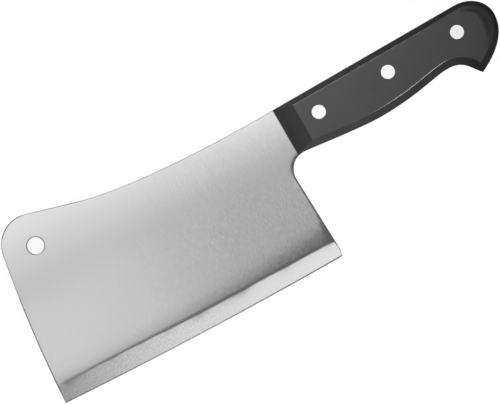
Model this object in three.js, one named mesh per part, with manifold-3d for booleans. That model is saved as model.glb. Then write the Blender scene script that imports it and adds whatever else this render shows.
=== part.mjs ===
// Meat cleaver: one full-tang steel blade between two black handle scales, held by three compression rivets.
// Millimetres, +Z up. The cleaver lies on its right side, with +X along the cutting edge from toe to butt,
// +Y from the edge to the spine, and the origin on the underside, at the middle of its bounding box.
import * as THREE from "three";
import { mergeVertices, toCreasedNormals } from "three/addons/utils/BufferGeometryUtils.js";
import Module from "manifold-3d";

const wasm = await Module();
wasm.setup();

// Blade outline. Heights are above the line through the heel and toe corners of the cutting edge.
const EDGE_LENGTH = 167.5;
const EDGE_BELLY = 1.3; // how far the edge bows out between its corners
const SPINE_HEIGHT = 86.32; // height of the spine where the scales begin
const SPINE_STRAIGHT = 8; // the handle's top line runs on this far in front of the scales
const TOE_HEIGHT = 100; // height of the toe's crown, the highest point of the blade
const TOE_SETBACK = 7.2; // the round of the toe's crown stands this far behind the toe corner
const TOE_CORNER_RADIUS = 16.9;
const TOE_LEAN = 8.5; // degrees that the toe leans back just below its crown
const CROWN_SLOPE = 14.6; // degrees that the spine falls behind the toe's crown
const CROWN_RUN = 26.9; // length of that straight fall
const HEEL_FLARE = 0.9; // the heel's line meets the edge line this far behind the rounded heel corner
const HEEL_LEAN = 4; // degrees that the heel leans towards the toe
const HEEL_CORNER = 5.5; // height of the rounding at the heel corner
const CHOIL_RADIUS = 10.6; // the hollow between heel and handle
const EASED_EDGE = 0.5; // chamfer on the spine, toe and hanging hole
const HEEL_EASE = 0.8; // chamfer on the heel and the choil, where a finger may rest
const HANG_HOLE_DIAMETER = 9.2;
const HANG_HOLE_FROM_TOE = 18.05; // from the round of the toe's crown back to the hole's centre
const HANG_HOLE_DROP = 18.1; // from the toe's crown down to the hole's centre

// Blade section.
const STOCK = 3.5; // thickness of the steel at the tang and the toe's crown
const FACE_TAPER = 0.3; // degrees that each face leans in towards the edge
const SHOULDER_THICKNESS = 2.2; // where the rolled face meets the ground bevel
const FACE_ROLL = 14; // width over which each face rolls in above the shoulder
const SHOULDER_HEEL = 8.6; // height of the shoulder, where the bevel begins, at the heel
const SHOULDER_TOE = 9.6; // the same at the toe
const SHOULDER_SAG = 0.8; // how far the shoulder dips between them
const HONED_WIDTH = 0.7; // the honed strip along the cutting edge
const HONED_THICKNESS = 0.6; // where the bevel meets the honed strip
const EDGE_THICKNESS = 0.15;

// Handle outline. Stations run back from the scales' front along the top line, and depths run down from it.
const SCALE_SETBACK = 3.45; // heel corner to the scales' front, at the top line
const HANDLE_LENGTH = 128.45; // scales' front to the rear of the butt
const HANDLE_TILT = 2; // degrees that the top line climbs towards the butt
const FRONT_DEPTH = 27.5; // at the top of the choil
const BELLY_DEPTH = 32; // where the grip is fullest
const BELLY_STATION = 48.35;
const HOOK_DEPTH = 27.6; // at the top of the finger hook
const HOOK_FROM_BUTT = 36.3;
const BEAK_DEPTH = 38.5; // at the point of the butt's beak
const BEAK_FROM_BUTT = 20.6;
const BUTT_LENGTH = 16.6; // of the quarter round from the top line to the rear of the butt
const BUTT_HEIGHT = 14.1; // of the same round
const BUTT_TUCK_DEPTH = 28.6; // where the butt's rear and the underside of its beak would meet

// Scale section.
const SCALE_THICKNESS = 7.5;
const SIDE_WALL = 2.2; // upright side next to the tang
const SIDE_ROUND = 2.5; // rounding between the upright and the sloping side
const TOP_CHAMFER = 3.1; // plan width of the sloping side along the top line
const GRIP_CHAMFER = 4.2; // plan width of the sloping side along the grip and butt
const FACE_EDGE_ROUND = 1; // rounding between the sloping side and the flat face
const BUTT_ROUND = 9; // the same rounding at the butt, where it is polished soft
const BUTT_BLEND = 22; // length of top line over which the soft rounding fades
const RAMP_LENGTH = 10.7; // hollow ramp at the scale's front
const RAMP_LIP = 2.8; // height of the scale's front edge
const RAMP_HOLLOW = 0.45; // depth of the hollow

// Compression rivets: a bored sleeve from the left, and a post from the right that is pressed into it.
const RIVET_FRONT_INSET = 20.95; // scales' front to the front rivet
const RIVET_REAR_INSET = 22.4; // rear rivet to the rear of the butt
const RIVET_DROP = 13.1; // top line down to the rivets
const RIVET_HEAD_DIAMETER = 7.5;
const RIVET_HEAD_HEIGHT = 2; // heads are ground flush with the scales
const SLEEVE_DIAMETER = 5;
const POST_DIAMETER = 3;
const POST_REACH = 11; // length of the post below its head
const RIVET_CLEARANCE = 0.1; // round each shank and head
const SLEEVE_END_GAP = 0.5; // between the sleeve's end and the post's head, and past the post's end

// Meshing: steps along the curves, and overrun of the cutting tools past the steel.
const RIVET_SIDES = 40;
const OVERRUN = 3;
const SHARP_MITRE = 1.1; // a corner whose mitre is this much longer than its offset is sharp
const CORNER_SPREAD = 13; // how far from a sharp corner the points give way
const WELD = 1e-4;
const CREASE = THREE.MathUtils.degToRad(25);

const RIVET_NAMES = ["front", "middle", "rear"];
const halfStock = STOCK / 2;
const faceHeight = halfStock + SCALE_THICKNESS; // mid-plane to a scale's flat face
const tilt = THREE.MathUtils.degToRad(HANDLE_TILT);
const heelLean = THREE.MathUtils.degToRad(HEEL_LEAN);
const crownSlope = THREE.MathUtils.degToRad(CROWN_SLOPE);
const toeLean = THREE.MathUtils.degToRad(TOE_LEAN);
const faceTaper = Math.tan(THREE.MathUtils.degToRad(FACE_TAPER));

const point = (x, y) => new THREE.Vector2(x, y);
const mix = THREE.MathUtils.lerp;

// A point of the handle at a station behind the scales' front and a depth below the top line.
function grip(station, depth) {
  return point(station, -depth).rotateAround(point(0, 0), tilt).add(point(SCALE_SETBACK, SPINE_HEIGHT));
}

// Where the scales' front stands at a height: it is square to the handle's top line.
function scaleFrontAt(y) {
  return SCALE_SETBACK + (SPINE_HEIGHT - y) * Math.tan(tilt);
}

// A point at a distance and an angle, in radians, from another.
function polar(centre, radius, angle) {
  return point(Math.cos(angle), Math.sin(angle)).multiplyScalar(radius).add(centre);
}

function arc(centre, radius, from, to) {
  return new THREE.EllipseCurve(centre.x, centre.y, radius, radius, from, to, to < from);
}

// A curve that leaves and arrives along the handle's length. The pull at each end is a share of its span.
function gripCurve(from, to, leave, arrive) {
  const span = to.station - from.station;
  return new THREE.CubicBezierCurve(
    grip(from.station, from.depth),
    grip(from.station + leave * span, from.depth),
    grip(to.station - arrive * span, to.depth),
    grip(to.station, to.depth),
  );
}

// Samples joined curves into one run of points, without repeating the joints.
function trace(...pieces) {
  const points = [pieces[0].curve.getPoint(0)];
  for (const { curve, steps } of pieces) points.push(...curve.getPoints(steps).slice(1));
  return points;
}

// The corners and tangent points that the outline runs through.
const toeCorner = point(-EDGE_LENGTH, 0);
const heelCorner = point(0, 0);
const heelAt = (height) => point(HEEL_FLARE - height * Math.tan(heelLean), height);
const crownCentre = point(-EDGE_LENGTH + TOE_SETBACK + TOE_CORNER_RADIUS, TOE_HEIGHT - TOE_CORNER_RADIUS);
const crownStart = polar(crownCentre, TOE_CORNER_RADIUS, Math.PI / 2 - crownSlope);
const crownEnd = polar(crownCentre, TOE_CORNER_RADIUS, Math.PI - toeLean);
const fallEnd = polar(crownStart, CROWN_RUN, -crownSlope);
const spineStart = grip(-SPINE_STRAIGHT, 0);

// The choil's circle touches the heel's line and the front of the grip.
const choilDepth = FRONT_DEPTH + CHOIL_RADIUS;
const choilStation = (() => {
  const across = point(Math.cos(heelLean), Math.sin(heelLean));
  const start = grip(0, choilDepth).sub(heelAt(0)).dot(across);
  const perStation = Math.cos(tilt - heelLean);
  return (CHOIL_RADIUS - start) / perStation;
})();
const choilCentre = grip(choilStation, choilDepth);
const choilEnd = Math.PI / 2 + tilt;

const belly = { station: BELLY_STATION, depth: BELLY_DEPTH };
const hook = { station: HANDLE_LENGTH - HOOK_FROM_BUTT, depth: HOOK_DEPTH };
const beak = { station: HANDLE_LENGTH - BEAK_FROM_BUTT, depth: BEAK_DEPTH };
const buttCentre = grip(HANDLE_LENGTH - BUTT_LENGTH, BUTT_HEIGHT);

// The curves of the outline, anticlockwise from the toe corner.
function bladeCurves() {
  const edgeBow = point(-EDGE_LENGTH / 2, -2 * EDGE_BELLY);
  const edge = new THREE.QuadraticBezierCurve(toeCorner, edgeBow, heelCorner);
  const heelRound = new THREE.QuadraticBezierCurve(heelCorner, heelAt(HEEL_CORNER / 2), heelAt(HEEL_CORNER));
  const choilStart = polar(choilCentre, CHOIL_RADIUS, Math.PI + heelLean);
  const heel = new THREE.LineCurve(heelAt(HEEL_CORNER), choilStart);
  const spineSpan = spineStart.x - fallEnd.x;
  const spine = new THREE.CubicBezierCurve(
    spineStart,
    grip(-SPINE_STRAIGHT - 0.16 * spineSpan, 0),
    polar(fallEnd, 0.31 * spineSpan, -crownSlope),
    fallEnd,
  );
  const toe = new THREE.QuadraticBezierCurve(
    crownEnd,
    polar(crownEnd, crownEnd.y / 2, -Math.PI / 2 - toeLean),
    toeCorner,
  );
  return {
    edge: { curve: edge, steps: 24 },
    heelRound: { curve: heelRound, steps: 6 },
    heel: { curve: heel, steps: 1 },
    choil: { curve: arc(choilCentre, CHOIL_RADIUS, Math.PI + heelLean, choilEnd), steps: 18 },
    spineStraight: { curve: new THREE.LineCurve(grip(0, 0), spineStart), steps: 1 },
    spine: { curve: spine, steps: 30 },
    crownFall: { curve: new THREE.LineCurve(fallEnd, crownStart), steps: 1 },
    crown: {
      curve: arc(crownCentre, TOE_CORNER_RADIUS, Math.PI / 2 - crownSlope, Math.PI - toeLean),
      steps: 20,
    },
    toe: { curve: toe, steps: 12 },
  };
}

// The curves of the handle from the choil to the scales' front, each with the section of the scales there:
// the plan width of the sloping side and the rounding of the face's edge, at the start and end of the curve.
function handleCurves() {
  const front = { station: choilStation, depth: FRONT_DEPTH };
  const hookStart = grip(hook.station, hook.depth);
  const beakTip = grip(beak.station, beak.depth);
  const hookSpan = beak.station - hook.station;
  const hookCurve = new THREE.CubicBezierCurve(
    hookStart,
    grip(hook.station + 0.65 * hookSpan, hook.depth),
    grip(beak.station - 0.27 * hookSpan, beak.depth - 0.27 * hookSpan),
    beakTip,
  );
  const rear = grip(HANDLE_LENGTH, BUTT_HEIGHT);
  const tuck = new THREE.QuadraticBezierCurve(beakTip, grip(HANDLE_LENGTH, BUTT_TUCK_DEPTH), rear);
  const { x: buttX, y: buttY } = buttCentre;
  const butt = new THREE.EllipseCurve(buttX, buttY, BUTT_LENGTH, BUTT_HEIGHT, 0, Math.PI / 2, false, tilt);
  const topRear = grip(HANDLE_LENGTH - BUTT_LENGTH, 0);
  const topSoft = grip(HANDLE_LENGTH - BUTT_LENGTH - BUTT_BLEND, 0);
  const midRound = mix(FACE_EDGE_ROUND, BUTT_ROUND, 0.5);
  const crisp = { width: [GRIP_CHAMFER, GRIP_CHAMFER], round: [FACE_EDGE_ROUND, FACE_EDGE_ROUND] };
  return [
    { curve: gripCurve(front, belly, 0.06, 0.27), steps: 16, ...crisp },
    { curve: gripCurve(belly, hook, 0.54, 0.2), steps: 20, ...crisp },
    { curve: hookCurve, steps: 18, ...crisp },
    { curve: tuck, steps: 18, width: [GRIP_CHAMFER, GRIP_CHAMFER], round: [FACE_EDGE_ROUND, BUTT_ROUND] },
    {
      curve: butt,
      steps: 20,
      width: [GRIP_CHAMFER, TOP_CHAMFER],
      round: [BUTT_ROUND, midRound],
    },
    {
      curve: new THREE.LineCurve(topRear, topSoft),
      steps: 10,
      width: [TOP_CHAMFER, TOP_CHAMFER],
      round: [midRound, FACE_EDGE_ROUND],
    },
    {
      curve: new THREE.LineCurve(topSoft, grip(0, 0)),
      steps: 6,
      width: [TOP_CHAMFER, TOP_CHAMFER],
      round: [FACE_EDGE_ROUND, FACE_EDGE_ROUND],
    },
  ];
}

// Inward offsets, one for each point of an open run of points with its solid on the left. A sharp corner is
// mitred, and the points near it slide away along the run, so that no offset crosses the corner's own.
function inwardOffsets(points) {
  const along = points.slice(1).map((p, i) => p.clone().sub(points[i]).normalize());
  const mitres = points.map((_, i) => {
    const before = along[Math.max(i - 1, 0)];
    const after = along[Math.min(i, along.length - 1)];
    const bisector = before.clone().add(after).divideScalar(1 + before.dot(after));
    return point(-bisector.y, bisector.x);
  });
  const offsets = mitres.map((mitre) => mitre.clone());
  mitres.forEach((mitre, corner) => {
    if (mitre.length() < SHARP_MITRE) return;
    for (const step of [-1, 1]) {
      let pull = 0;
      let distance = 0;
      for (let i = corner + step; i >= 0 && i < points.length; i += step) {
        const away = points[i].clone().sub(points[i - step]);
        distance += away.length();
        if (distance > CORNER_SPREAD) break;
        away.normalize();
        if (i === corner + step) pull = mitre.dot(away);
        offsets[i].addScaledVector(away, pull * (1 - distance / CORNER_SPREAD));
      }
    }
  });
  return offsets;
}

// Triangles that close a flat ring, turning the same way as the ring.
function closeRing(ring) {
  const count = ring.length;
  const normal = new THREE.Vector3();
  ring.forEach((p, i) => normal.add(p.clone().cross(ring[(i + 1) % count])));
  const size = normal.toArray().map(Math.abs);
  const facing = size.indexOf(Math.max(...size));
  const across = (facing + 1) % 3;
  const up = (facing + 2) % 3;
  const flat = ring.map((p) => point(p.getComponent(across), p.getComponent(up)));
  const faces = THREE.ShapeUtils.triangulateShape(flat, []);
  // A point in line with its neighbours has been passed over, so it splits the triangle on its edge.
  const used = new Set(faces.flat());
  const first = Math.min(...used);
  for (let step = 1; step < count; step += 1) {
    const i = (first + step) % count;
    if (used.has(i)) continue;
    const before = (i + count - 1) % count;
    let after = (i + 1) % count;
    while (!used.has(after)) after = (after + 1) % count;
    const [face] = faces.splice(faces.findIndex((f) => f.includes(before) && f.includes(after)), 1);
    faces.push(face.map((corner) => (corner === after ? i : corner)));
    faces.push(face.map((corner) => (corner === before ? i : corner)));
    used.add(i);
  }
  return normal.getComponent(facing) > 0 ? faces : faces.map(([a, b, c]) => [a, c, b]);
}

// A closed geometry through rings of equal counts, which turn anticlockwise seen from the last one.
function loft(rings) {
  const count = rings[0].length;
  const last = (rings.length - 1) * count;
  const index = [];
  for (let ring = 0; ring < last; ring += count) {
    for (let i = 0; i < count; i += 1) {
      const next = (i + 1) % count;
      index.push(ring + i, ring + next, ring + count + next);
      index.push(ring + i, ring + count + next, ring + count + i);
    }
  }
  for (const [a, b, c] of closeRing(rings[0])) index.push(a, c, b);
  for (const [a, b, c] of closeRing(rings.at(-1))) index.push(last + a, last + b, last + c);
  const geometry = new THREE.BufferGeometry().setFromPoints(rings.flat());
  geometry.setIndex(index);
  return geometry;
}

// A solid that can be cut and joined, from a closed geometry.
function solidOf(geometry) {
  const bare = new THREE.BufferGeometry();
  bare.setAttribute("position", geometry.getAttribute("position"));
  bare.setIndex(geometry.getIndex());
  const merged = mergeVertices(bare, WELD);
  const mesh = new wasm.Mesh({
    numProp: 3,
    vertProperties: merged.getAttribute("position").array,
    triVerts: Uint32Array.from(merged.getIndex().array),
  });
  return new wasm.Manifold(mesh);
}

// A geometry from a solid, shaded smooth except at its creases.
function geometryOf(solid) {
  const { vertProperties, triVerts } = solid.getMesh();
  const geometry = new THREE.BufferGeometry();
  geometry.setAttribute("position", new THREE.BufferAttribute(vertProperties, 3));
  geometry.setIndex(new THREE.BufferAttribute(triVerts, 1));
  return toCreasedNormals(geometry, CREASE);
}

// A turned form about a Z axis, from a profile of radius and height that starts and ends on the axis.
function turned(profile, x = 0, y = 0) {
  const points = profile.map(([radius, height]) => point(radius, height));
  return new THREE.LatheGeometry(points, RIVET_SIDES).rotateX(Math.PI / 2).translate(x, y, 0);
}

// Height of the cutting edge's bow at x.
function edgeAt(x) {
  const share = (x + EDGE_LENGTH) / EDGE_LENGTH;
  return -4 * EDGE_BELLY * share * (1 - share);
}

// Height of the shoulder, where the rolled face meets the bevel, at x.
function shoulderAt(x) {
  const share = (x + EDGE_LENGTH) / EDGE_LENGTH;
  return mix(SHOULDER_TOE, SHOULDER_HEEL, share) - 4 * SHOULDER_SAG * share * (1 - share);
}

// Half the thickness of the flat part of the ground face, at a height.
function flatFaceAt(y) {
  return halfStock - (TOE_HEIGHT - y) * faceTaper;
}

// The ground face across the blade at x, from below the edge to above the crown: height and half thickness.
function groundFace(x) {
  const edge = edgeAt(x);
  const shoulder = shoulderAt(x);
  const roll = flatFaceAt(shoulder) - SHOULDER_THICKNESS / 2;
  const rollSteps = 6;
  const rolled = Array.from({ length: rollSteps }, (_, i) => {
    const share = (i + 1) / rollSteps;
    const y = shoulder + share * FACE_ROLL;
    return [y, flatFaceAt(y) - roll * (1 - share) ** 2];
  });
  const top = TOE_HEIGHT + OVERRUN;
  return [
    [edge - OVERRUN, EDGE_THICKNESS / 2],
    [edge, EDGE_THICKNESS / 2],
    [edge + HONED_WIDTH, HONED_THICKNESS / 2],
    [shoulder, SHOULDER_THICKNESS / 2],
    ...rolled,
    [top, flatFaceAt(top)],
  ];
}

// Half the thickness of the ground blade at a point of its face.
function halfThicknessAt(x, y) {
  const face = groundFace(x);
  const upper = Math.max(face.findIndex(([height]) => height >= y), 1);
  const [y0, half0] = face[upper - 1];
  const [y1, half1] = face[upper];
  return mix(half0, half1, (y - y0) / (y1 - y0));
}

// What the grinder takes off one face of the blade: side is 1 for the left face and -1 for the right.
function grindingTool(side) {
  const stations = 20;
  const start = -EDGE_LENGTH - OVERRUN;
  const rollTop = Math.max(SHOULDER_HEEL, SHOULDER_TOE) + FACE_ROLL;
  const rings = Array.from({ length: stations + 1 }, (_, i) => {
    const across = (y) => mix(start, scaleFrontAt(Math.max(y, rollTop)), i / stations);
    const face = groundFace(across(rollTop));
    const outside = STOCK + OVERRUN;
    const ring = [...face, [face.at(-1)[0], outside], [face[0][0], outside]];
    const placed = ring.map(([y, z]) => new THREE.Vector3(across(y), y, side * z));
    return side > 0 ? placed : placed.reverse();
  });
  return solidOf(loft(rings));
}

// What the file takes off along an outline to ease its edge on one face.
function easingTool(points, side, width) {
  const inward = inwardOffsets(points);
  const rings = points.map((p, i) => {
    const half = halfThicknessAt(p.x, p.y);
    const ease = Math.min(width, half / 2);
    const corner = (inset, z) => {
      const at = p.clone().addScaledVector(inward[i], inset);
      return new THREE.Vector3(at.x, at.y, side * z);
    };
    const ring = [
      corner(ease + OVERRUN / 4, half + OVERRUN / 4),
      corner(-OVERRUN / 4, half + OVERRUN / 4),
      corner(-OVERRUN / 4, half - ease - OVERRUN / 4),
    ];
    return side > 0 ? ring : ring.reverse();
  });
  return solidOf(loft(rings));
}

// Blade and tang: cut from flat stock, drilled, ground to a taper and a bevel on both faces, then eased.
function makeBlade(rivetCentres) {
  const blade = bladeCurves();
  const handle = handleCurves();
  const outline = trace(
    blade.edge,
    blade.heelRound,
    blade.heel,
    blade.choil,
    ...handle,
    blade.spineStraight,
    blade.spine,
    blade.crownFall,
    blade.crown,
    blade.toe,
  );
  outline.pop();
  const faces = [-halfStock, halfStock].map((z) => outline.map((p) => new THREE.Vector3(p.x, p.y, z)));
  let solid = solidOf(loft(faces));
  const reach = halfStock + OVERRUN;
  const tangHole = SLEEVE_DIAMETER / 2 + RIVET_CLEARANCE;
  for (const { x, y } of rivetCentres) {
    const drill = turned([[0, -reach], [tangHole, -reach], [tangHole, reach], [0, reach]], x, y);
    solid = solid.subtract(solidOf(drill));
  }
  const heelRun = trace(blade.heelRound, blade.heel, blade.choil).filter((p) => p.x < scaleFrontAt(p.y));
  const spineRun = trace(blade.spineStraight, blade.spine, blade.crownFall, blade.crown, blade.toe);
  for (const side of [1, -1]) {
    solid = solid.subtract(grindingTool(side));
    solid = solid.subtract(easingTool(heelRun, side, HEEL_EASE));
    solid = solid.subtract(easingTool(spineRun, side, EASED_EDGE));
  }
  return geometryOf(solid.subtract(hangingHole()));
}

// The hanging hole, with its rims eased.
function hangingHole() {
  const x = -EDGE_LENGTH + TOE_SETBACK + HANG_HOLE_FROM_TOE;
  const y = TOE_HEIGHT - HANG_HOLE_DROP;
  const radius = HANG_HOLE_DIAMETER / 2;
  const rim = halfThicknessAt(x, y);
  const flared = [radius + EASED_EDGE + OVERRUN, rim + OVERRUN];
  const profile = [
    [0, -flared[1]],
    [flared[0], -flared[1]],
    [radius, EASED_EDGE - rim],
    [radius, rim - EASED_EDGE],
    flared,
    [0, flared[1]],
  ];
  return solidOf(turned(profile, x, y));
}

// The side of a scale at one place: plan inset and height above the tang, from the tang up to the flat face.
function scaleSide(width, round) {
  const rise = SCALE_THICKNESS - SIDE_WALL;
  const slope = Math.atan2(rise, width);
  const length = Math.hypot(rise, width);
  const lean = Math.PI / 2 - slope;
  const lowTangent = Math.min(SIDE_ROUND * Math.tan(lean / 2), 0.2 * length, 0.9 * SIDE_WALL);
  const lowRadius = lowTangent / Math.tan(lean / 2);
  const lowSteps = 3;
  const low = Array.from({ length: lowSteps + 1 }, (_, i) => {
    const turn = mix(0, lean, i / lowSteps);
    return [lowRadius * (1 - Math.cos(turn)), SIDE_WALL - lowTangent + lowRadius * Math.sin(turn)];
  });
  const highTangent = Math.min(round * Math.tan(slope / 2), 0.75 * length);
  const highRadius = highTangent / Math.tan(slope / 2);
  const highSteps = 5;
  const high = Array.from({ length: highSteps + 1 }, (_, i) => {
    const turn = mix(slope, 0, i / highSteps);
    const inset = width + highTangent - highRadius * Math.sin(turn);
    return [inset, SCALE_THICKNESS - highRadius * (1 - Math.cos(turn))];
  });
  return [[0, 0], ...low, ...high];
}

// One handle scale, on the left face of the tang: the tang's outline raised with sloping sides,
// cut off square at the front with a hollow ramp, and drilled and counterbored for the rivets.
function makeScale(rivetCentres) {
  const frontRun = {
    ...bladeCurves().choil,
    width: [GRIP_CHAMFER, GRIP_CHAMFER],
    round: [FACE_EDGE_ROUND, FACE_EDGE_ROUND],
  };
  const topLead = {
    curve: new THREE.LineCurve(grip(0, 0), grip(-OVERRUN, 0)),
    steps: 1,
    width: [TOP_CHAMFER, TOP_CHAMFER],
    round: [FACE_EDGE_ROUND, FACE_EDGE_ROUND],
  };
  const pieces = [frontRun, ...handleCurves(), topLead];
  const points = trace(...pieces);
  const sections = [scaleSide(frontRun.width[0], frontRun.round[0])];
  for (const { steps, width, round } of pieces) {
    for (let i = 1; i <= steps; i += 1) {
      const share = THREE.MathUtils.smoothstep(i / steps, 0, 1);
      sections.push(scaleSide(mix(...width, share), mix(...round, share)));
    }
  }
  const inward = inwardOffsets(points);
  const rings = sections[0].map((_, level) =>
    points.map((p, i) => {
      const [inset, height] = sections[i][level];
      const at = p.clone().addScaledVector(inward[i], inset);
      return new THREE.Vector3(at.x, at.y, halfStock + height);
    }),
  );
  let solid = solidOf(loft(rings)).subtract(rampTool());
  const headSeat = faceHeight - RIVET_HEAD_HEIGHT;
  const shank = SLEEVE_DIAMETER / 2 + RIVET_CLEARANCE;
  const head = RIVET_HEAD_DIAMETER / 2 + RIVET_CLEARANCE;
  const profile = [
    [0, halfStock - OVERRUN],
    [shank, halfStock - OVERRUN],
    [shank, headSeat],
    [head, headSeat],
    [head, faceHeight + OVERRUN],
    [0, faceHeight + OVERRUN],
  ];
  for (const { x, y } of rivetCentres) solid = solid.subtract(solidOf(turned(profile, x, y)));
  return geometryOf(solid);
}

// What is cut off a scale's front: all that lies ahead of it, and the hollow ramp above its lip.
function rampTool() {
  const lip = point(0, halfStock + RAMP_LIP);
  const brow = point(RAMP_LENGTH, faceHeight);
  const across = brow.clone().sub(lip).rotateAround(point(0, 0), -Math.PI / 2).normalize();
  const sag = lip.clone().add(brow).multiplyScalar(0.5).addScaledVector(across, 2 * RAMP_HOLLOW);
  const ramp = new THREE.QuadraticBezierCurve(lip, sag, brow);
  const past = brow.clone().sub(sag).normalize().multiplyScalar(OVERRUN).add(brow);
  const section = [
    point(-HANDLE_LENGTH, -faceHeight),
    point(0, -faceHeight),
    ...ramp.getPoints(12),
    past,
    point(-HANDLE_LENGTH, past.y),
  ];
  const rings = [-HANDLE_LENGTH, HANDLE_LENGTH].map((depth) =>
    section.map(({ x: station, y: height }) => {
      const at = grip(station, depth);
      return new THREE.Vector3(at.x, at.y, height);
    }),
  );
  return solidOf(loft(rings));
}

// The bored half of a rivet. Its head fills the left scale's counterbore and its shank crosses the tang.
function makeSleeve() {
  const headSeat = faceHeight - RIVET_HEAD_HEIGHT;
  const shankEnd = SLEEVE_END_GAP - headSeat;
  const bore = POST_DIAMETER / 2 + RIVET_CLEARANCE;
  const boreEnd = POST_REACH - headSeat + SLEEVE_END_GAP;
  return turned([
    [0, boreEnd],
    [bore, boreEnd],
    [bore, shankEnd],
    [SLEEVE_DIAMETER / 2, shankEnd],
    [SLEEVE_DIAMETER / 2, headSeat],
    [RIVET_HEAD_DIAMETER / 2, headSeat],
    [RIVET_HEAD_DIAMETER / 2, faceHeight],
    [0, faceHeight],
  ]);
}

// The solid half of a rivet. Its head fills the right scale's counterbore and its post stands in the sleeve.
function makePost() {
  const headSeat = RIVET_HEAD_HEIGHT - faceHeight;
  return turned([
    [0, -faceHeight],
    [RIVET_HEAD_DIAMETER / 2, -faceHeight],
    [RIVET_HEAD_DIAMETER / 2, headSeat],
    [POST_DIAMETER / 2, headSeat],
    [POST_DIAMETER / 2, headSeat + POST_REACH],
    [0, headSeat + POST_REACH],
  ]);
}

const steel = new THREE.MeshStandardMaterial({ color: 0xc3c4c6, roughness: 0.32, metalness: 1 });
const plastic = new THREE.MeshStandardMaterial({ color: 0x1d1d1e, roughness: 0.38, metalness: 0 });
const rivetMetal = new THREE.MeshStandardMaterial({ color: 0xf2f2f2, roughness: 0.22, metalness: 1 });

const assembly = new THREE.Group();

function addPart(name, geometry, material) {
  const mesh = new THREE.Mesh(geometry, material);
  mesh.name = name;
  assembly.add(mesh);
  return mesh;
}

const rivetSpan = HANDLE_LENGTH - RIVET_FRONT_INSET - RIVET_REAR_INSET;
const rivetCentres = RIVET_NAMES.map((_, i) => {
  const share = i / (RIVET_NAMES.length - 1);
  return grip(RIVET_FRONT_INSET + share * rivetSpan, RIVET_DROP);
});

addPart("blade", makeBlade(rivetCentres), steel);
const scale = makeScale(rivetCentres);
addPart("left_scale", scale, plastic);
addPart("right_scale", scale, plastic).scale.z = -1;
RIVET_NAMES.forEach((name, i) => {
  const { x, y } = rivetCentres[i];
  addPart(`${name}_rivet_sleeve`, makeSleeve(), rivetMetal).position.set(x, y, 0);
  addPart(`${name}_rivet_post`, makePost(), rivetMetal).position.set(x, y, 0);
});

// The cleaver lies on its right scale, with the origin under the middle of its box.
const box = new THREE.Box3().setFromObject(assembly);
const middle = box.getCenter(new THREE.Vector3());
assembly.position.set(-middle.x, -middle.y, -box.min.z);

const cleaver = new THREE.Group();
cleaver.add(assembly);

export default cleaver;
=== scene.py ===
"""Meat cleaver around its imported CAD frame: brushed steel blade, satin black scales and bright rivets."""
import math

import bmesh
import bpy
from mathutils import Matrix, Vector


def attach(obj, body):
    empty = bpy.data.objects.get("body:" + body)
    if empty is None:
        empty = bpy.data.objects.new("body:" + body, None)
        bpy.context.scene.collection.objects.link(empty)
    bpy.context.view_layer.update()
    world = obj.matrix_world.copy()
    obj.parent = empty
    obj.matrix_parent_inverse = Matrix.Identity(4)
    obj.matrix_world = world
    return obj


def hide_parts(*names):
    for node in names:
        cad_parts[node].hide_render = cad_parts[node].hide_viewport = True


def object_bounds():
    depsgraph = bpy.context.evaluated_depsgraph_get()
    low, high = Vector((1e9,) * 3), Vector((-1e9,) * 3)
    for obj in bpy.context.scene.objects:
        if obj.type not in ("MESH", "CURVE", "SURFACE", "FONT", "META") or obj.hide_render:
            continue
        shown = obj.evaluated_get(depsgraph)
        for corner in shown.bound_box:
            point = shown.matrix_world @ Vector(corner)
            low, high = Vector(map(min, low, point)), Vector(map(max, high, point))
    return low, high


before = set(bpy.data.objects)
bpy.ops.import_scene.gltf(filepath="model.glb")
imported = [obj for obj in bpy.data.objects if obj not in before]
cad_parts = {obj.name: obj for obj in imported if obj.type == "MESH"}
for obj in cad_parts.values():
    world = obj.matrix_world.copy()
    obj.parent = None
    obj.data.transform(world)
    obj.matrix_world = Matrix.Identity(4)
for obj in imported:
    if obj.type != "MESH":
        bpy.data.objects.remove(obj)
cad_low, cad_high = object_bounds()
scene = bpy.context.scene
MM = 0.001

# Places on the cleaver, in the frame's own coordinates. The heel's foot is where the cutting edge ends.
EDGE_LENGTH = 167.5 * MM
BLADE_HEIGHT = 100.0 * MM
HEEL_X = cad_low.x + EDGE_LENGTH
HEEL_Y = cad_high.y - BLADE_HEIGHT
HEEL_LEAN = math.radians(4.0)
SHOULDER_HEEL = 8.6 * MM
SHOULDER_TOE = 9.6 * MM
SHOULDER_SAG = 0.8 * MM
SHOULDER_FADE = (-0.15 * MM, 0.05 * MM)
CHOIL_BEHIND = 7.246 * MM
CHOIL_RISE = 48.329 * MM
CHOIL_CENTRE = (HEEL_X + CHOIL_BEHIND, HEEL_Y + CHOIL_RISE)
CHOIL_RADIUS = 10.6 * MM

# The soft rub on the heel and the choil: its width, its slope at the rim, and the stretches where they change
RUB_WIDTH_FOOT = 5.0 * MM
RUB_WIDTH_HEEL = 1.1 * MM
RUB_WIDTH_CHOIL = 3.6 * MM
RUB_SLOPE_HEEL = 0.10
RUB_SLOPE_CHOIL = 0.085
RUB_FOOT_STRETCH = (10.0 * MM, 28.0 * MM)
RUB_CHOIL_STRETCH = (-8.0 * MM, 4.0 * MM)
RUB_POWER = 3.0

# A noise scale is the number of cells in a metre along x, y and z.
# A value named BY something is a ramp: the start and end of its stretch, then what it gives at each.

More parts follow.
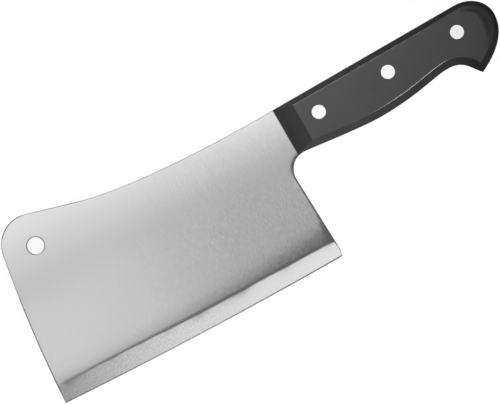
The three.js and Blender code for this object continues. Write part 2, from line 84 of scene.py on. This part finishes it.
# Brushed steel
FLECK_SCALE = (2900.0, 330.0, 200.0)
BELT_SCALE = (2600.0, 24.0, 200.0)
SCRATCH_SCALE = (5200.0, 45.0, 300.0)
SPECK_SCALE = (1300.0, 650.0, 200.0)
PATCH_SCALE = (26.0, 18.0, 20.0)
FLECK_BY_PATCH = (0.35, 0.6, 0.7, 1.0)
FLECK_BY_SHARE = (0.3, 0.75, 0.25, 1.0)
FLECK_BY_HEIGHT = (46.0 * MM, 60.0 * MM, 1.0, 0.4)
SPECK_BY_SHARE = (0.3, 0.8, 1.0, 0.3)
FLECK_STRENGTH = 0.19
SPECK_STRENGTH = 0.14
BELT_STRENGTH = 0.02
STEEL_TONES = (0.60, 0.62)
STEEL_TINT = 1.004
STEEL_ROUGHNESS = (0.14, 0.155)
STEEL_ANISOTROPY = 0.9
SCRATCH_BUMP = 0.06

# Black plastic
GRAIN_SCALE = (2600.0, 2600.0, 2600.0)
POLISH_SCALE = (40.0, 900.0, 900.0)
CLOUD_SCALE = (60.0, 60.0, 60.0)
# Painted light and shade on the plastic: its colour runs from lighter at the front to darker towards the
# butt.
PLASTIC_SHADE_BY_X = (HEEL_X + 10.0 * MM, HEEL_X + 122.0 * MM, 0.031, 0.013)
PLASTIC_CLOUDS = (-0.0025, 0.0025)
PLASTIC_ROUGHNESS = (0.18, 0.24)
POLISH_ROUGHNESS = (-0.02, 0.02)
PLASTIC_BUMP = 0.1
POLISH_BUMP_SHARE = 0.5
PLASTIC_IOR = 1.57

# Rivets
SCUFF_SCALE = (900.0, 120.0, 300.0)
RIVET_TONES = (0.96, 0.99)
RIVET_ROUGHNESS = (0.27, 0.33)

# All materials
COOL_TINT = 1.005
NOISE_REACH = (0.3, 0.7)
BUMP_DEPTH = 0.02 * MM

# Meshes, with angles in degrees
WELD_DISTANCE = 0.0005 * MM
FLAT_ANGLE = 0.02
BLADE_CREASE = 8.0
HANDLE_CREASE = 22.0
BRUSHING_SCALE = 10
NORMAL_WEIGHT = 80

# The photograph's frame. The camera looks straight down from VIEW_HEIGHT metres, turned by VIEW_TURN degrees.
IMAGE_WIDTH = 500
MM_PER_PIXEL = 0.5346
VIEW_TURN = 28.0
VIEW_CENTRE = (HEEL_X - 30.14 * MM, HEEL_Y + 48.72 * MM)
VIEW_HEIGHT = 4.0
VIEW_END = 50.0
SENSOR_WIDTH = 36.0
BLADE_PLANE = (cad_low.z + cad_high.z) / 2

# The floor glows for the camera and in reflections, and less where a reflection meets it close by.
FLOOR_HALF = 3.0
FLOOR_GLOW = 0.90
FLOOR_SHADE_REACH = 2000.0 * MM
FLOOR_SCALE = (300.0, 300.0, 300.0)
FLOOR_TONES = (0.14, 0.15)

# The room is dim overhead and at the horizon, and brighter between, most of all before and behind the blade.
ROOM_LEVEL = 0.1
WALL_BY_RISE = (0.64, 0.78, 1.0, 0.0)
WALL_FOOT_BY_RISE = (0.06, 0.14, 0.0, 1.0)
WALL_LEVEL_BY_SIDE = (0.3, 0.75, 0.55, 0.2)

# Softboxes over the table, from the lowest up, in metres: the name, the ground that it hangs above along x
# and along y, its radiance, and its turn if it has one. Each lights the steel or plastic that mirrors it.
LAMP_HEIGHT = 0.8
LAMP_STEP = 0.01
LAMP_LEFT = -0.28
TOE_SIDE = -0.078
OVERHEAD_SOFTBOXES = (
    ("overhead_softbox", (LAMP_LEFT, 0.18), (-0.066, 0.7), 0.48, math.radians(17.0)),
    ("rear_softbox", (LAMP_LEFT, 0.30), (0.016, 0.7), 0.42),
    ("spine_softbox", (LAMP_LEFT, 0.30), (0.036, 0.7), 0.29),
    ("toe_softbox", (LAMP_LEFT, TOE_SIDE), (-0.08, 0.003), 0.29),
    ("toe_edge_softbox", (LAMP_LEFT, TOE_SIDE), (-0.1, 0.003), 0.27),
    ("toe_gap_softbox", (LAMP_LEFT, TOE_SIDE), (0.003, 0.02), 0.22),
    ("handle_softbox", (0.03, 0.10), (0.03, 0.5), 0.53),
    ("front_softbox", (-0.16, 0.6), (-0.47, -0.162), 1.18),
    ("ricasso_softbox", (-0.09, 0.03), (0.052, 0.5), 0.5),
    ("shoulder_softbox", (LAMP_LEFT, -0.08), (-0.175, -0.1), 0.13),
    ("hone_softbox", (-0.15, -0.04), (-0.82, -0.5), 0.9),
    ("grip_softbox", (0.06, 0.20), (-0.06, 0.2), 0.18),
    ("right_softbox", (0.20, 0.60), (0.0, 0.5), 0.2),
    ("far_right_softbox", (0.60, 1.50), (0.0, 0.7), 0.1),
    ("heel_softbox", (0.2, 0.7), (-0.3, 0.0), 0.1),
)

# Softboxes round the table: the name, its place, its size, its radiance and the point that it faces.
STANDING_SOFTBOXES = (
    ("crest_strip", (0.33, -1.0, 0.45), (0.33, 0.4), 19.0, (0.09, 0.0, 0.0)),
    ("back_strip", (-0.052, 0.95, 0.8), (0.29, 0.2), 13.0, (0.06, 0.03, 0.0)),
    # Low glows light the eased edges that face them: the spine by the handle, and the toe below its crown.
    ("spine_glow", (0.03, 1.0, 0.04), (0.15, 0.08), 1.3, (0.03, 0.0, 0.01)),
    ("toe_glow", (-1.05, 0.40, 0.04), (0.60, 0.08), 1.6, (-0.15, 0.03, 0.01)),
)

# Low fills from both sides lift the handle's sloping sides without showing in the steel.
FILL_SOFTBOXES = (
    ("back_fill", (0.05, 1.2, 0.15), (0.6, 0.3), 31.0, (0.05, 0.0, 0.0)),
    ("front_fill", (0.05, -1.2, 0.15), (0.6, 0.3), 30.0, (0.05, 0.0, 0.0)),
)


# Shader nodes

def feed(tree, value, socket):
    """Links a value that comes from another node, or sets a plain number, vector or colour."""
    if isinstance(value, bpy.types.NodeSocket):
        tree.links.new(value, socket)
    else:
        socket.default_value = value


def add(tree, kind, settings=None, **inputs):
    """Adds a node. Settings are its own properties, inputs are sockets by name with _ for spaces."""
    node = tree.nodes.new(kind)
    for key, value in (settings or {}).items():
        setattr(node, key, value)
    for key, value in inputs.items():
        feed(tree, value, node.inputs[key.replace("_", " ")])
    return node


def math_node(tree, operation, a, b=0.0, clamp=False):
    node = add(tree, "ShaderNodeMath", {"operation": operation, "use_clamp": clamp})
    feed(tree, a, node.inputs[0])
    feed(tree, b, node.inputs[1])
    return node.outputs[0]


def plus(tree, a, b):
    return math_node(tree, "ADD", a, b)


def minus(tree, a, b):
    return math_node(tree, "SUBTRACT", a, b)


def times(tree, a, b):
    return math_node(tree, "MULTIPLY", a, b)


def vector_node(tree, operation, a, b):
    node = add(tree, "ShaderNodeVectorMath", {"operation": operation})
    feed(tree, a, node.inputs[0])
    feed(tree, b, node.inputs[1])
    return node


# A mix node's inputs and output for each kind of value, by their places in its lists
MIX_SOCKETS = {"FLOAT": (2, 3, 0), "RGBA": (6, 7, 2)}


def mix(tree, kind, factor, a, b):
    node = add(tree, "ShaderNodeMix", {"data_type": kind})
    first, second, result = MIX_SOCKETS[kind]
    feed(tree, factor, node.inputs[0])
    feed(tree, a, node.inputs[first])
    feed(tree, b, node.inputs[second])
    return node.outputs[result]


def ramp(tree, value, start, end, at_start, at_end, smooth=True):
    node = add(tree, "ShaderNodeMapRange", {"interpolation_type": "SMOOTHSTEP" if smooth else "LINEAR"},
               Value=value, From_Min=start, From_Max=end, To_Min=at_start, To_Max=at_end)
    return node.outputs[0]


def noise(tree, position, scale, detail=2.0, roughness=0.5):
    """Noise over a position, stretched by one scale per axis."""
    stretched = vector_node(tree, "MULTIPLY", position, scale)
    node = add(tree, "ShaderNodeTexNoise", Vector=stretched.outputs["Vector"],
               Scale=1.0, Detail=detail, Roughness=roughness)
    return node.outputs["Fac"]


def spread(tree, value, low, high):
    """Turns the middle reach of a noise into a range of another value."""
    return ramp(tree, value, *NOISE_REACH, low, high, smooth=False)


def swing(tree, value, amount):
    """Turns a noise into a change either way, up to an amount."""
    return ramp(tree, value, 0.0, 1.0, -amount, amount, smooth=False)


def grey(level):
    return (level, level, level * COOL_TINT, 1.0)


def tinted(tree, tone, tint):
    """A grey of the given tone, with its blue times a tint."""
    blue = times(tree, tone, tint)
    return add(tree, "ShaderNodeCombineColor", Red=tone, Green=tone, Blue=blue).outputs[0]


def new_material(name):
    material = bpy.data.materials.new(name)
    material.use_nodes = True
    tree = material.node_tree
    shader = tree.nodes["Principled BSDF"]
    position = add(tree, "ShaderNodeTexCoord").outputs["Object"]
    return material, tree, shader, position


# Materials

def bevel_mask(tree, share, height):
    """1 on the ground bevel and 0 above its shoulder, which sags a little between toe and heel."""
    shoulder = ramp(tree, share, 0.0, 1.0, SHOULDER_TOE, SHOULDER_HEEL, smooth=False)
    above = minus(tree, height, shoulder)
    # The bow is a quarter at the middle, where the sag is whole.
    bow = times(tree, share, minus(tree, 1.0, share))
    above = plus(tree, above, times(tree, bow, 4 * SHOULDER_SAG))
    return ramp(tree, above, *SHOULDER_FADE, 1.0, 0.0)


def heel_rub(tree, x, y, height, bevel):
    """The depth rubbed off along the heel and round the choil, below zero, and none of it on the bevel."""
    along_x = -math.sin(HEEL_LEAN)
    along_y = math.cos(HEEL_LEAN)
    # The way up the heel's leaning line, and the distance inward from it.
    from_heel_x = minus(tree, x, HEEL_X)
    up_heel = plus(tree, times(tree, from_heel_x, along_x), times(tree, height, along_y))
    from_heel = plus(tree, times(tree, from_heel_x, -along_y), times(tree, height, along_x))
    # Higher up, the distance from the round of the choil.
    flat = add(tree, "ShaderNodeCombineXYZ", X=x, Y=y).outputs[0]
    from_centre = vector_node(tree, "DISTANCE", flat, (*CHOIL_CENTRE, 0.0)).outputs["Value"]
    from_choil = minus(tree, from_centre, CHOIL_RADIUS)
    choil_up = CHOIL_BEHIND * along_x + CHOIL_RISE * along_y
    in_choil = math_node(tree, "GREATER_THAN", up_heel, choil_up)
    inward = mix(tree, "FLOAT", in_choil, from_heel, from_choil)
    # The rub is widest at the heel's foot, and wider at the choil than between the two.
    choil_stretch = [choil_up + offset for offset in RUB_CHOIL_STRETCH]
    foot_width = ramp(tree, up_heel, *RUB_FOOT_STRETCH, RUB_WIDTH_FOOT, RUB_WIDTH_HEEL)
    choil_width = ramp(tree, up_heel, *choil_stretch, RUB_WIDTH_HEEL, RUB_WIDTH_CHOIL)
    width = math_node(tree, "MAXIMUM", foot_width, choil_width)
    depth = math_node(tree, "SUBTRACT", 1.0, math_node(tree, "DIVIDE", inward, width), clamp=True)
    depth = times(tree, math_node(tree, "POWER", depth, RUB_POWER), width)
    slope = ramp(tree, up_heel, *choil_stretch, RUB_SLOPE_HEEL, RUB_SLOPE_CHOIL)
    slope = times(tree, slope, ramp(tree, bevel, 0.0, 1.0, -1 / RUB_POWER, 0.0))
    return times(tree, depth, slope)


def grinding_marks(tree, position, share, height, bevel, patch):
    """Lighter and darker marks: flecks in patches on the face, and specks on the bevel."""
    # The face is flecked most by the heel, and least by the toe and the spine.
    fleck = noise(tree, position, FLECK_SCALE)
    amount = times(tree, ramp(tree, patch, *FLECK_BY_PATCH), ramp(tree, share, *FLECK_BY_SHARE))
    amount = times(tree, amount, ramp(tree, height, *FLECK_BY_HEIGHT))
    face_marks = times(tree, amount, swing(tree, fleck, FLECK_STRENGTH))
    # The bevel is freshly ground: smoother at the heel, and specked towards the toe.
    speck = noise(tree, position, SPECK_SCALE)
    bevel_marks = times(tree, ramp(tree, share, *SPECK_BY_SHARE), swing(tree, speck, SPECK_STRENGTH))
    off_bevel = minus(tree, 1.0, bevel)
    return plus(tree, times(tree, face_marks, off_bevel), times(tree, bevel_marks, bevel))


def blade_steel():
    """Brushed steel, with its belt marks running from the spine to the edge."""
    material, tree, shader, position = new_material("blade_steel")
    parts = add(tree, "ShaderNodeSeparateXYZ", Vector=position)
    x = parts.outputs["X"]
    y = parts.outputs["Y"]
    # The share of the way from toe to heel, and the height above the heel's foot.
    share = math_node(tree, "DIVIDE", plus(tree, x, EDGE_LENGTH - HEEL_X), EDGE_LENGTH)
    height = minus(tree, y, HEEL_Y)
    bevel = bevel_mask(tree, share, height)
    belt = noise(tree, position, BELT_SCALE, detail=3.0, roughness=0.55)
    scratch = noise(tree, position, SCRATCH_SCALE)
    patch = noise(tree, position, PATCH_SCALE)
    marks = grinding_marks(tree, position, share, height, bevel, patch)
    tone = plus(tree, plus(tree, marks, swing(tree, belt, BELT_STRENGTH)), spread(tree, patch, *STEEL_TONES))
    feed(tree, tinted(tree, tone, STEEL_TINT), shader.inputs["Base Color"])
    feed(tree, spread(tree, belt, *STEEL_ROUGHNESS), shader.inputs["Roughness"])
    rubbed = heel_rub(tree, x, y, height, bevel)
    round_over = add(tree, "ShaderNodeBump", Strength=1.0, Distance=1.0, Height=rubbed)
    bump = add(tree, "ShaderNodeBump", Strength=SCRATCH_BUMP, Distance=BUMP_DEPTH, Height=scratch,
               Normal=round_over.outputs[0])
    feed(tree, bump.outputs[0], shader.inputs["Normal"])
    tangent = add(tree, "ShaderNodeTangent", {"direction_type": "UV_MAP", "uv_map": "brushing"})
    feed(tree, tangent.outputs[0], shader.inputs["Tangent"])
    shader.inputs["Metallic"].default_value = 1.0
    shader.inputs["Anisotropic"].default_value = STEEL_ANISOTROPY
    return material


def handle_plastic():
    """Satin black plastic, with painted light and shade: lighter at the front and blackest at the butt."""
    material, tree, shader, position = new_material("handle_plastic")
    grain = noise(tree, position, GRAIN_SCALE, detail=3.0, roughness=0.6)
    polish = noise(tree, position, POLISH_SCALE, detail=3.0, roughness=0.55)
    cloud = noise(tree, position, CLOUD_SCALE)
    x = add(tree, "ShaderNodeSeparateXYZ", Vector=position).outputs["X"]
    # Painted light and shade: the base colour is lighter at the front and darker towards the butt.
    painted_shade = ramp(tree, x, *PLASTIC_SHADE_BY_X, smooth=False)
    tone = plus(tree, painted_shade, spread(tree, cloud, *PLASTIC_CLOUDS))
    feed(tree, tinted(tree, tone, COOL_TINT), shader.inputs["Base Color"])
    rough = plus(tree, spread(tree, grain, *PLASTIC_ROUGHNESS), spread(tree, polish, *POLISH_ROUGHNESS))
    feed(tree, rough, shader.inputs["Roughness"])
    relief = plus(tree, grain, times(tree, polish, POLISH_BUMP_SHARE))
    bump = add(tree, "ShaderNodeBump", Strength=PLASTIC_BUMP, Distance=BUMP_DEPTH, Height=relief)
    feed(tree, bump.outputs[0], shader.inputs["Normal"])
    shader.inputs["IOR"].default_value = PLASTIC_IOR
    return material


def rivet_metal():
    """Bright metal with fine scuffs."""
    material, tree, shader, position = new_material("rivet_metal")
    scuff = noise(tree, position, SCUFF_SCALE, detail=3.0)
    dark, light = RIVET_TONES
    feed(tree, mix(tree, "RGBA", scuff, grey(dark), grey(light)), shader.inputs["Base Color"])
    feed(tree, spread(tree, scuff, *RIVET_ROUGHNESS), shader.inputs["Roughness"])
    shader.inputs["Metallic"].default_value = 1.0
    return material


def floor_material():
    """A pale floor that looks white to the camera and in reflections, and still takes a shadow."""
    material, tree, shader, position = new_material("studio_floor")
    tree.nodes.remove(shader)
    path = add(tree, "ShaderNodeLightPath")
    glossy = path.outputs["Is Glossy Ray"]
    # Reflections of the floor right beside the cleaver lie in its shade.
    clear = ramp(tree, path.outputs["Ray Length"], 0.0, FLOOR_SHADE_REACH, 0.0, 1.0)
    clear = math_node(tree, "MAXIMUM", clear, minus(tree, 1.0, glossy))
    dark, light = FLOOR_TONES
    paint = mix(tree, "RGBA", noise(tree, position, FLOOR_SCALE), grey(dark), grey(light))
    diffuse = add(tree, "ShaderNodeBsdfDiffuse", Color=mix(tree, "RGBA", clear, grey(0.0), paint))
    seen = math_node(tree, "MAXIMUM", path.outputs["Is Camera Ray"], glossy)
    seen = math_node(tree, "MAXIMUM", seen, path.outputs["Is Transmission Ray"])
    lit = times(tree, times(tree, seen, clear), FLOOR_GLOW)
    glow = add(tree, "ShaderNodeEmission", Strength=lit)
    both = add(tree, "ShaderNodeAddShader")
    feed(tree, diffuse.outputs[0], both.inputs[0])
    feed(tree, glow.outputs[0], both.inputs[1])
    feed(tree, both.outputs[0], tree.nodes["Material Output"].inputs["Surface"])
    return material


# Pieces

def from_node(node_name, piece_name, material, crease):
    """A smooth-shaded piece with the CAD node's own shape, which stands for that node."""
    mesh = bpy.data.meshes.new(piece_name)
    work = bmesh.new()
    work.from_mesh(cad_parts[node_name].data)
    bmesh.ops.remove_doubles(work, verts=work.verts, dist=WELD_DISTANCE)
    bmesh.ops.dissolve_limit(work, angle_limit=math.radians(FLAT_ANGLE), verts=work.verts, edges=work.edges)
    bmesh.ops.recalc_face_normals(work, faces=work.faces)
    for edge in work.edges:
        edge.smooth = len(edge.link_faces) == 2 and edge.calc_face_angle(0.0) < math.radians(crease)
    layer = work.loops.layers.uv.new("brushing")
    for face in work.faces:
        face.smooth = True
        for loop in face.loops:
            loop[layer].uv = (loop.vert.co.x * BRUSHING_SCALE, loop.vert.co.y * BRUSHING_SCALE)
    work.to_mesh(mesh)
    work.free()
    piece = bpy.data.objects.new(piece_name, mesh)
    scene.collection.objects.link(piece)
    mesh.materials.append(material)
    weighted = piece.modifiers.new("weighted_normals", "WEIGHTED_NORMAL")
    weighted.keep_sharp = True
    weighted.weight = NORMAL_WEIGHT
    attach(piece, "root")
    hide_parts(node_name)


# Floor, room, camera and lamps

def floor():
    mesh = bpy.data.meshes.new("studio_floor")
    corners = [(-FLOOR_HALF, -FLOOR_HALF, 0), (FLOOR_HALF, -FLOOR_HALF, 0),
               (FLOOR_HALF, FLOOR_HALF, 0), (-FLOOR_HALF, FLOOR_HALF, 0)]
    mesh.from_pydata(corners, [], [(0, 1, 2, 3)])
    mesh.materials.append(floor_material())
    piece = bpy.data.objects.new("studio_floor", mesh)
    scene.collection.objects.link(piece)


def surroundings():
    world = bpy.data.worlds.new("studio")
    scene.world = world
    world.use_nodes = True
    tree = world.node_tree
    background = tree.nodes["Background"]
    background.inputs["Color"].default_value = grey(1.0)
    direction = add(tree, "ShaderNodeTexCoord").outputs["Generated"]
    parts = add(tree, "ShaderNodeSeparateXYZ", Vector=direction)
    rise = parts.outputs["Z"]
    sideways = math_node(tree, "ABSOLUTE", parts.outputs["X"])
    wall = math_node(tree, "MINIMUM", ramp(tree, rise, *WALL_BY_RISE), ramp(tree, rise, *WALL_FOOT_BY_RISE))
    level = times(tree, wall, ramp(tree, sideways, *WALL_LEVEL_BY_SIDE))
    feed(tree, plus(tree, level, ROOM_LEVEL), background.inputs["Strength"])


def camera():
    lens = bpy.data.cameras.new("camera")
    lens.sensor_width = SENSOR_WIDTH
    lens.lens = SENSOR_WIDTH * VIEW_HEIGHT / (IMAGE_WIDTH * MM_PER_PIXEL * MM)
    lens.clip_end = VIEW_END
    holder = bpy.data.objects.new("camera", lens)
    holder.location = (*VIEW_CENTRE, BLADE_PLANE + VIEW_HEIGHT)
    holder.rotation_euler = (0.0, 0.0, math.radians(-VIEW_TURN))
    scene.collection.objects.link(holder)
    scene.camera = holder


def softbox(name, centre, size, radiance):
    """A rectangular lamp of even radiance, facing down."""
    lamp = bpy.data.lights.new(name, "AREA")
    lamp.shape = "RECTANGLE"
    lamp.size, lamp.size_y = size
    lamp.energy = radiance * math.pi * size[0] * size[1]
    holder = bpy.data.objects.new(name, lamp)
    holder.location = centre
    scene.collection.objects.link(holder)
    return holder


def overhead(level, name, x_span, y_span, radiance, turn=0.0):
    """A softbox over the table, turned about the point where its front edge crosses x = 0.

    Each hangs a little higher than the one before, since lamps in one plane hide each other.
    """
    middle = (x_span[0] + x_span[1]) / 2
    half_depth = (y_span[1] - y_span[0]) / 2
    centre = (middle * math.cos(turn) - half_depth * math.sin(turn),
              y_span[0] + middle * math.sin(turn) + half_depth * math.cos(turn),
              LAMP_HEIGHT + LAMP_STEP * level)
    holder = softbox(name, centre, (x_span[1] - x_span[0], y_span[1] - y_span[0]), radiance)
    holder.rotation_euler.z = turn


def facing(name, centre, size, radiance, aim):
    """A softbox that faces a point."""
    holder = softbox(name, centre, size, radiance)
    holder.rotation_euler = (Vector(aim) - Vector(centre)).to_track_quat("-Z", "Y").to_euler()
    return holder


# The cleaver
steel = blade_steel()
plastic = handle_plastic()
bright = rivet_metal()
from_node("blade", "steel_blade", steel, BLADE_CREASE)
for side in ("left", "right"):
    from_node(f"{side}_scale", f"black_scale_{side}", plastic, HANDLE_CREASE)
for place in ("front", "middle", "rear"):
    for half in ("sleeve", "post"):
        from_node(f"{place}_rivet_{half}", f"rivet_{place}_{half}", bright, HANDLE_CREASE)

# The studio
floor()
surroundings()
camera()
for level, softbox_facts in enumerate(OVERHEAD_SOFTBOXES):
    overhead(level, *softbox_facts)
for softbox_facts in STANDING_SOFTBOXES:
    facing(*softbox_facts)
for softbox_facts in FILL_SOFTBOXES:
    facing(*softbox_facts).visible_glossy = False

scene.view_settings.view_transform = "Standard"
